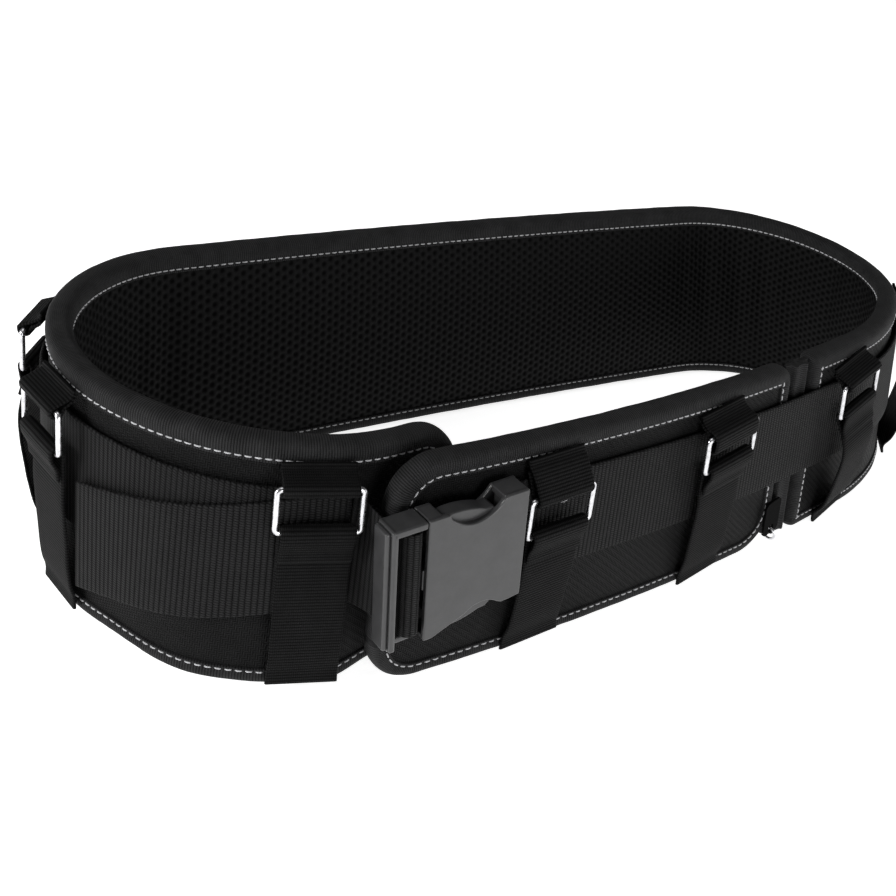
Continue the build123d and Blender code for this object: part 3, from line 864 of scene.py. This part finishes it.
# ---------------------------------------------------------------- keepers
def half_turn(centre, radius, start, turn, count=8):
    angles = np.radians(start + turn * np.arange(count + 1) / count)
    return [(centre[0] + radius * math.cos(a), centre[1] + radius * math.sin(a)) for a in angles]


def make_keeper(number, s, drop):
    """A folded tab over the ring's top bar, and a strap from the lower edge, folded over its low bar."""
    axes = wall_axes(s)
    lift = wall_lift(s)
    top_bar = RING_BAR_HEIGHT * lift - drop
    low_bar = top_bar - RING_HEIGHT
    bulge = STRAP_BULGE.get(number, 0.5)
    slack = TAB_SLACK.get(number, 0.0)
    top = (RING_STAND_OFF, top_bar)
    low = (RING_STAND_OFF, low_bar)
    middle = (low_bar + 26) / 2

    tab = [(1.5, 103.5 * lift), (2.3, 101.0 * lift), (5.5, max(98.0 * lift, top_bar + 4)),
           (RING_STAND_OFF + LOOP_RADIUS - 0.6, top_bar + 1.6)]
    tab += half_turn((top[0], top[1] - slack), LOOP_RADIUS, 0, -180)
    tab += [(RING_STAND_OFF - LOOP_RADIUS - 0.6, top_bar + 1.2), (3.1, max(95.5 * lift, top_bar + 3)),
            (1.6, max(98.0 * lift, top_bar + 5))]
    strap(f"keeper_{number}_tab_fold", axes, smooth_curve(tab, 0.9), STRAP_WIDTH, PLY, seed=number * 1.3,
          wave=0.1, material=STRAP, slot="strap_webbing", replaces=(f"keeper_{number}_tab",))

    path = [(1.3, 3.0), (1.4, 9.0), (3.2 + bulge * 0.5, 20.0), (5.2 + bulge, middle),
            (5.6 + bulge * 0.6, low_bar - 12), (RING_STAND_OFF - LOOP_RADIUS - 0.3, low_bar - 3)]
    path += half_turn(low, LOOP_RADIUS, 180, -180)
    path += [(RING_STAND_OFF + LOOP_RADIUS - 0.5, low_bar - 3.5), (8.6 + bulge * 0.3, low_bar - 9),
             (7.6 + bulge * 0.6, low_bar - 14)]
    flare = FOOT_FLARE.get(number, 0.02)
    made = strap(f"keeper_{number}_strap_fold", axes, smooth_curve(path, 1.5), STRAP_WIDTH, PLY,
                 seed=number * 2.1, wave=0.35, flare=flare, material=STRAP, slot="strap_webbing", body=None,
                 replaces=(f"keeper_{number}_strap",))
    origin, out, up, along = axes
    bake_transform(made)


# ---------------------------------------------------------------- buckle
def block(u0, u1, v0, v1):
    return [(u0, v0), (u1, v0), (u1, v1), (u0, v1)]


def socket_outline():
    """Front of the socket: a scoop in its upper side, a slanted cut with a hook in the lower one."""
    half = BUCKLE_HALF
    lower = [(10.0, -half), (14.0, -half)]
    lower += arc_through((30.0, -half + 6.4), (38.0, -half + 9.6), (46.0, -half + 6.8), 14)
    lower += [(48.5, -half + 5.4), (51.0, -half + 5.6), (58.0, -half + 6.4)]
    upper = [(58.0, half), (47.5, half)]
    upper += arc_through((46.0, half - 0.8), (33.0, half - 8.0), (20.5, half - 2.2), 18)
    upper += [(19.8, half), (10.0, half)]
    return lower + upper


def back_outline():
    """Back wall of the socket, which is scooped in the same way on both sides."""
    half = BUCKLE_HALF
    low_side = [(10.0, -half), (17.0, -half)]
    low_side += arc_through((17.0, -half), (34.5, -half + 8.0), (46.0, -half), 20)[1:]
    low_side += [(58.0, -half)]
    return low_side + [(u, -v) for u, v in reversed(low_side)]


def make_socket():
    half = BUCKLE_HALF
    wall_depths = (BUCKLE_BACK + 0.6, BUCKLE_FRONT - 0.9)
    solids = [(socket_outline(), BUCKLE_FRONT - 2.6, BUCKLE_FRONT, 0.7),
              (back_outline(), BUCKLE_BACK, BUCKLE_BACK + 2.0, 0.6)]
    # the short side walls at the mouth, and the longer ones at the webbing's end
    for low, high in ((half - 2.2, half), (-half, 2.2 - half)):
        solids.append((block(10.3, 17.0, low, high), *wall_depths, 0.5))
    solids.append((block(46.0, 57.7, half - 3.2, half), *wall_depths, 0.5))
    solids.append((block(46.5, 57.7, 7.0 - half, 9.6 - half), *wall_depths, 0.5))
    # the end wall, and the bar that the webbing's loop goes round
    solids.append((block(47.4, 50.0, 7.5 - half, half - 2.5), BUCKLE_BACK + 1.0, BUCKLE_FRONT - 1.0, 0.3))
    solids.append((block(53.0, 56.2, 7.5 - half, half - 2.5), 6.6, 9.8, 0.9))
    prisms("buckle_socket_shell", solids, body="belt", replaces=("buckle_female_body",))


def make_plug():
    half = BUCKLE_HALF
    solids = [
        # the end bar, in two bands
        (block(-8.5, -6.0, 0.8 - half, half - 0.8), BUCKLE_BACK + 0.8, BUCKLE_FRONT - 1.8, 1.1),
        (block(-6.3, -3.4, -half, half), BUCKLE_BACK, BUCKLE_FRONT, 1.1),
        # the ladder bar and the tongue
        (block(2.6, 6.8, 2.5 - half, half - 2.5), 7.6, 11.8, 0.9),
        (block(9.4, 44.0, -5.0, 5.0), 5.9, 13.3, 0.6),
        # the upper rail, and the lower one, which lies further back
        (block(-6.0, 9.7, half - 3.4, half), BUCKLE_BACK, BUCKLE_FRONT, 0.9),
        (block(-6.0, 9.7, -half, 3.0 - half), BUCKLE_BACK, BUCKLE_FRONT - 4.5, 0.9),
    ]
    prisms("buckle_plug_frame", solids, body="buckle_plug", replaces=("buckle_male_frame",))


def make_arm(name, body, sign):
    """A release arm: a thin beam that grows into the curved finger tab seen in the socket's cut."""
    outline = [(11.4, 16.2), (15.5, 16.2), (30.0, 19.2), (43.0, 19.6), (44.0, 20.6), (44.0, 23.6),
               (42.0, 25.4)]
    outline += arc_through((38.0, 25.8), (29.5, 28.2), (18.2, 28.4), 10)
    outline += [(17.6, 26.6), (17.2, 22.4), (11.4, 21.6)]
    outline = [(u, sign * v) for u, v in outline]
    prisms(name + "_lever", [(outline, 5.9, 13.3, 0.7)], body=body, replaces=(name,))


def untilt_leg(piece):
    """Turns the left end of the fold level, so that it runs on from the webbing round the waist."""
    origin, along, up, out = buckle_axes()
    level = np.array([math.cos(BUCKLE_HEADING), math.sin(BUCKLE_HEADING), 0.0])
    flat_origin = origin + np.array([0.0, 0.0, (WEBBING_MIDDLE_Z - BUCKLE_Z) * MM])
    vertices = piece.data.vertices
    points = np.empty(len(vertices) * 3)
    vertices.foreach_get("co", points)
    offset = points.reshape(-1, 3) - origin
    u, v, w = (offset @ axis for axis in (along, up, out))
    flat = flat_origin + u[:, None] * level + v[:, None] * np.array([0.0, 0.0, 1.0]) + w[:, None] * out
    share = smooth_step(-9.0, 0.5, u / MM)[:, None]
    vertices.foreach_set("co", (share * (origin + offset) + (1 - share) * flat).ravel())


def make_buckle_webbing():
    origin, along, up, out = buckle_axes()
    axes = (origin, along, out, up)
    fold = [(-9.5, -14.0), (-4.8, -7.0), (-1.8, 3.0), (0.4, 8.5), (1.0, 12.2), (2.6, 14.2), (4.7, 14.7),
            (6.8, 14.1), (8.2, 12.0), (8.1, 8.6), (6.4, 6.1), (3.6, 5.2), (0.2, 1.4), (-2.9, -7.4),
            (-6.6, -13.8)]
    made = strap("webbing_fold_loop", axes, smooth_curve(fold, 1.0), 51.0, 1.5, seed=3.0, wave=0.1,
                 material=WEBBING, slot="webbing", body=None, replaces=("webbing_fold",))
    untilt_leg(made)
    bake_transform(made)
    loop = [(66.0, 2.9), (62.0, 3.4), (59.4, 5.2), (58.0, 8.6), (56.2, 11.0), (53.6, 11.0), (51.9, 9.2),
            (52.0, 6.8), (54.0, 5.4), (57.2, 4.0), (60.6, 1.6), (64.0, 1.0)]
    strap("webbing_anchor_fold", axes, smooth_curve(loop, 1.0), 50.0, 1.4, seed=5.0, wave=0.1,
          material=WEBBING, slot="webbing", replaces=("webbing_anchor_loop",))


# ---------------------------------------------------------------- carried-over CAD nodes
def paint(node, material):
    mesh_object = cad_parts[node]
    if not mesh_object.material_slots:
        mesh_object.data.materials.append(material)
    for entry in mesh_object.material_slots:
        entry.link = "OBJECT"
        entry.material = material


# ---------------------------------------------------------------- stage
FLOOR_HALF = 30.0
FLOOR_DROP = 0.0004
WORLD_LIGHT = 0.12
LIGHT_AIM = (0.0, 0.0, 0.05)
# light name: place, what it is aimed at, size (m) and power (W)
LIGHTS = {
    "key": ((-1.7, 0.25, 0.7), (-0.1, 0, 0.05), 0.6, 24),
    "front": ((-0.35, -1.7, 0.35), LIGHT_AIM, 0.8, 15),
    "overhead": ((-0.2, 0.1, 1.9), (0, 0, 0.0), 1.2, 5),
    "right": ((1.4, -0.9, 0.45), LIGHT_AIM, 0.7, 6),
}


def make_stage():
    low = cad_box[0]
    mesh = bpy.data.meshes.new("floor")
    steps = np.linspace(-FLOOR_HALF, FLOOR_HALF, 9)
    points = [(x, y, low.z - FLOOR_DROP) for x in steps for y in steps]
    mesh.from_pydata(points, [], [tuple(map(int, f)) for f in lattice(9, 9)])
    mesh.materials.append(floor_material())
    floor = bpy.data.objects.new("floor", mesh)
    bpy.context.scene.collection.objects.link(floor)


def area_light(name, place, aim, size, power):
    lamp = bpy.data.lights.new(name, "AREA")
    lamp.shape = "DISK"
    lamp.size = size
    lamp.energy = power
    holder = bpy.data.objects.new(name, lamp)
    holder.location = place
    holder.rotation_mode = "QUATERNION"
    holder.rotation_quaternion = (Vector(aim) - Vector(place)).to_track_quat("-Z", "Y")
    bpy.context.scene.collection.objects.link(holder)


def make_lights():
    world = bpy.data.worlds.new("studio")
    world.use_nodes = True
    world.node_tree.nodes["Background"].inputs["Color"].default_value = (1.0, 1.0, 1.0, 1.0)
    world.node_tree.nodes["Background"].inputs["Strength"].default_value = WORLD_LIGHT
    bpy.context.scene.world = world
    for name, (place, aim, size, power) in LIGHTS.items():
        area_light(name, place, aim, size, power)


CAMERA_PLACE = (-0.4515, -0.4277, 0.3542)
CAMERA_HEADING = math.radians(48.0)
CAMERA_PITCH = math.radians(28.6)
CAMERA_ROLL = math.radians(9.3)
CAMERA_LENS = 51.4


def make_camera():
    """A camera that looks along its heading, tilted down and rolled."""
    forward = Vector((math.cos(CAMERA_HEADING) * math.cos(CAMERA_PITCH),
                      math.sin(CAMERA_HEADING) * math.cos(CAMERA_PITCH), -math.sin(CAMERA_PITCH)))
    level_right = Vector((math.sin(CAMERA_HEADING), -math.cos(CAMERA_HEADING), 0))
    level_up = level_right.cross(forward)
    right = level_right * math.cos(CAMERA_ROLL) + level_up * math.sin(CAMERA_ROLL)
    up = level_up * math.cos(CAMERA_ROLL) - level_right * math.sin(CAMERA_ROLL)
    data = bpy.data.cameras.new("camera")
    data.lens, data.sensor_width = CAMERA_LENS, 36.0
    data.clip_start, data.clip_end = 0.01, 50.0
    camera = bpy.data.objects.new("camera", data)
    camera.matrix_world = Matrix((right, up, -forward)).transposed().to_4x4()
    camera.location = CAMERA_PLACE
    bpy.context.scene.collection.objects.link(camera)
    bpy.context.scene.camera = camera


# ---------------------------------------------------------------- build
make_camera()
make_stage()
make_lights()
bpy.context.scene.view_settings.view_transform = "Standard"
for index, (pad_name, pad_shape) in enumerate(PADS.items()):
    make_pad(pad_name, pad_shape, 1.0 + 2.3 * index)
make_join_strip("join_strip", *JOIN_STRIP)
make_webbing()
make_tail()
for index, (place, drop) in enumerate(KEEPERS, start=1):
    make_keeper(index, place, drop)
    paint(f"keeper_{index}_ring", METAL)
make_socket()
make_plug()
make_arm("buckle_upper_arm", "upper_arm", 1)
make_arm("buckle_lower_arm", "lower_arm", -1)
make_buckle_webbing()
paint("end_ring", METAL)
paint("webbing_rivet", METAL)
paint("end_tab", STRAP)
